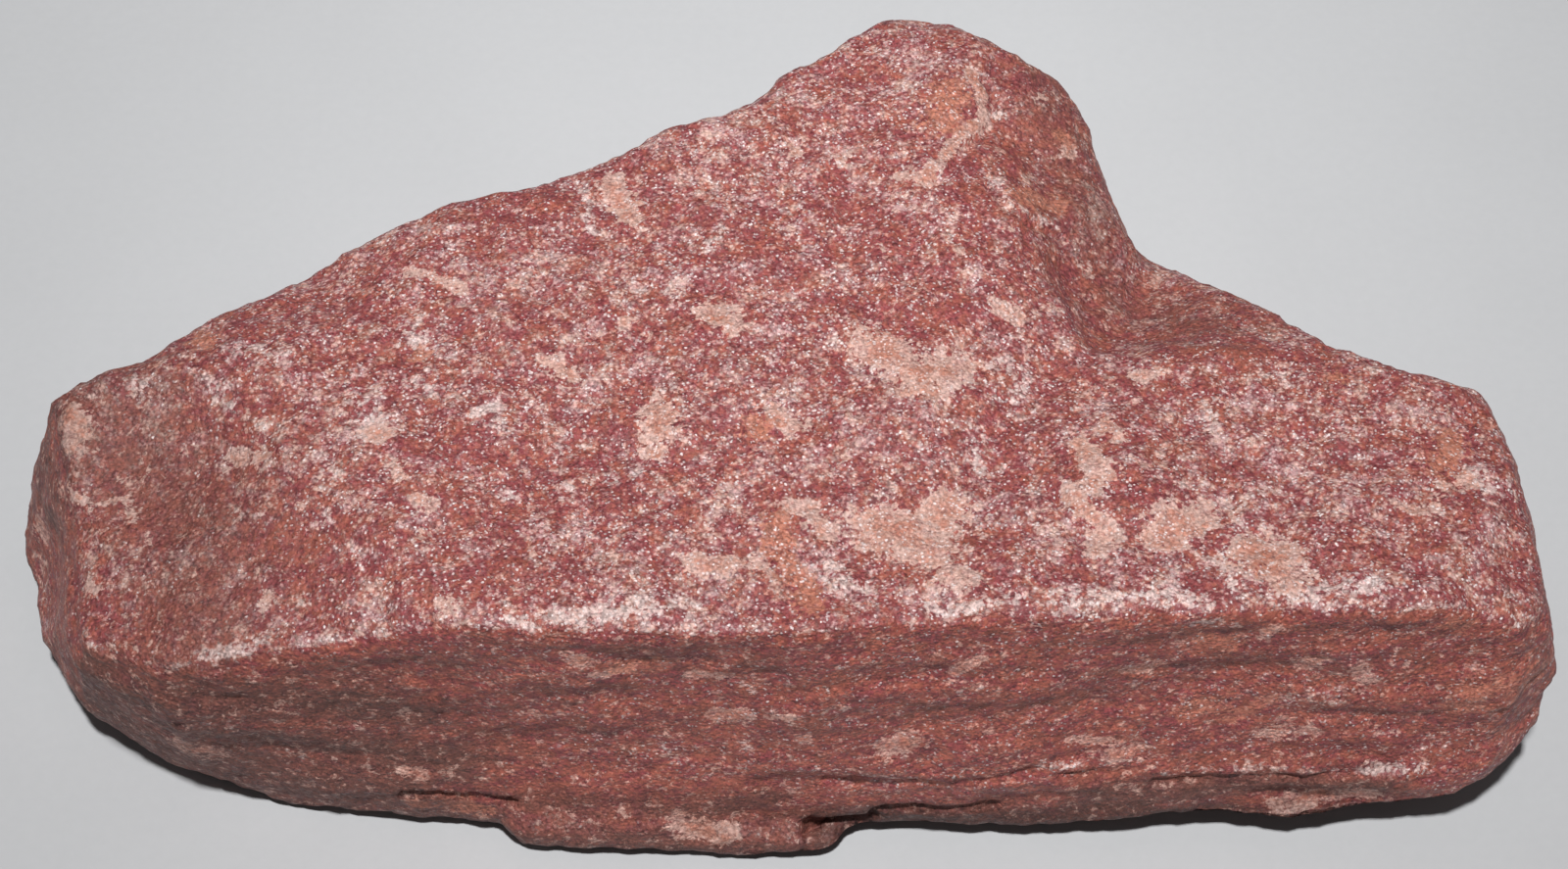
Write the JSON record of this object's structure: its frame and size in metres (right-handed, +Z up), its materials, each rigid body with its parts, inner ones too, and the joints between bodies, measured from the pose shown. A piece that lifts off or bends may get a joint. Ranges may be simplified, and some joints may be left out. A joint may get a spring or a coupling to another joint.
{
  "type": "quartzite stone",
  "caption": "Hand-sized broken stone of red quartzite: a wedge-shaped slab with a raised peak behind, a lower shoulder and layered edges, resting on a flat spot",
  "frame": {"origin": "middle of the underside of the bounding box, on the plane that the stone rests on", "axes": "+X along the stone's length, +Y towards the raised peak at its back, +Z up, away from the resting spot"},
  "size_m": [0.1182, 0.0684, 0.0298],
  "materials": {
    "quartzite": "rough broken grains, frosted at the edges"
  },
  "bodies": {
    "root": {"red_quartzite": "quartzite"}
  },
  "joints": []
}
